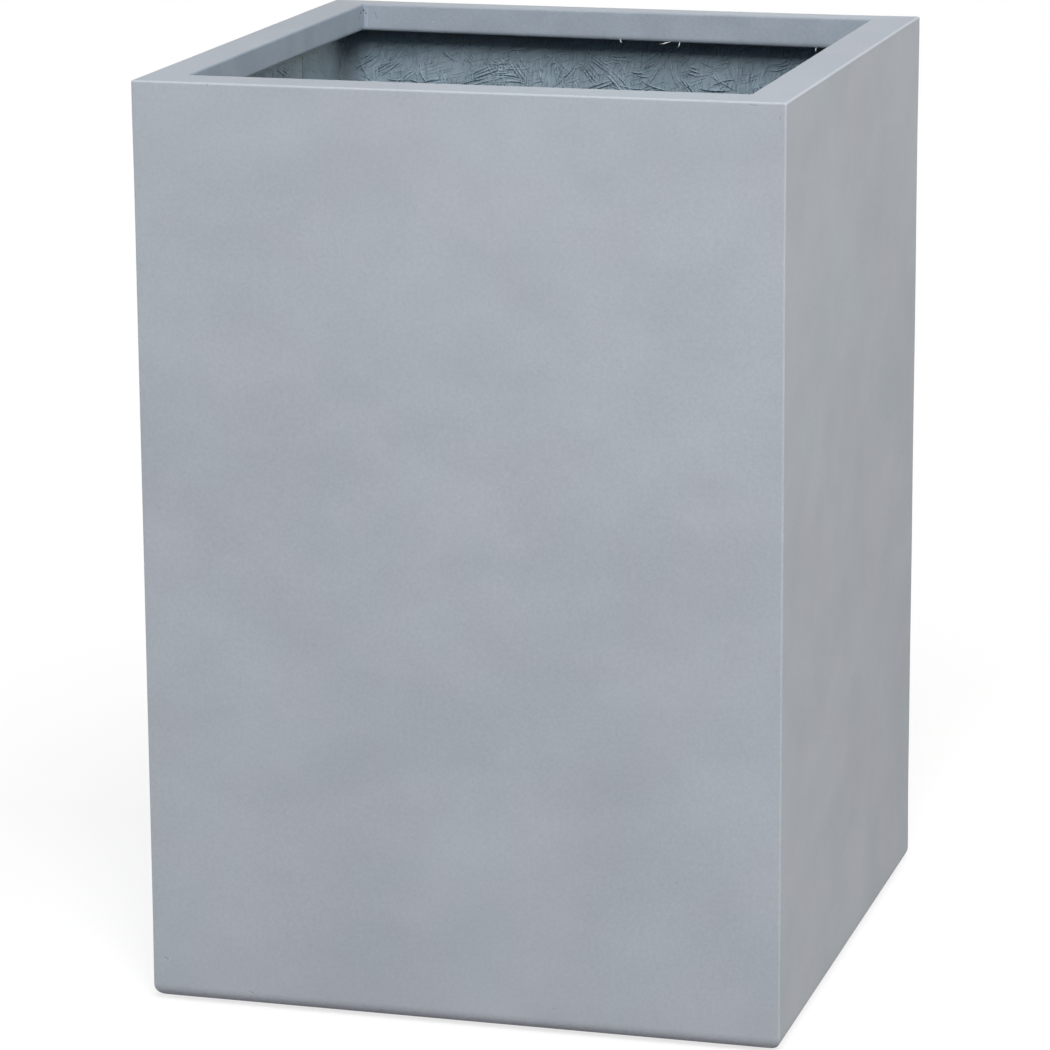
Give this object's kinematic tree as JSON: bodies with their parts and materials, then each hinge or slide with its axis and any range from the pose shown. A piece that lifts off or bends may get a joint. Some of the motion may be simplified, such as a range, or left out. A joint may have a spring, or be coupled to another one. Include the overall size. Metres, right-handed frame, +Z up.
{
  "type": "planter",
  "caption": "Tall square fibreglass planter with plumb walls, a flat mitred rim whose lip turns down into the mouth, a plugged drain hole in the floor and rubber foot pads.",
  "frame": {"origin": "centre of the base at ground level, on the underside of the rubber foot pads", "axes": "+Z up, out of the mouth; -Y is the wall that the picture shows from the front, +X the wall it shows on the right"},
  "size_m": [0.5, 0.5, 0.7225],
  "materials": {
    "painted_laminate": "matte",
    "painted_mat": "matte",
    "black_rubber": "matte",
    "grey_rubber": "matte"
  },
  "bodies": {
    "planter": {"outer_shell": "painted_laminate", "rim_front": "painted_laminate", "rim_right": "painted_laminate", "rim_back": "painted_laminate", "rim_left": "painted_laminate", "rim_tab_front": "painted_mat", "rim_tab_right": "painted_mat", "rim_tab_back": "painted_mat", "rim_tab_left": "painted_mat", "foot_pad_front_left": "grey_rubber", "foot_pad_front_right": "grey_rubber", "foot_pad_back_right": "grey_rubber", "foot_pad_back_left": "grey_rubber"},
    "plug": {"drain_plug": "black_rubber"}
  },
  "joints": [
    {"name": "plug_lift", "type": "slide", "parent": "planter", "child": "plug", "axis": [0, 0, 1], "range_m": [0, 0.75]}
  ]
}
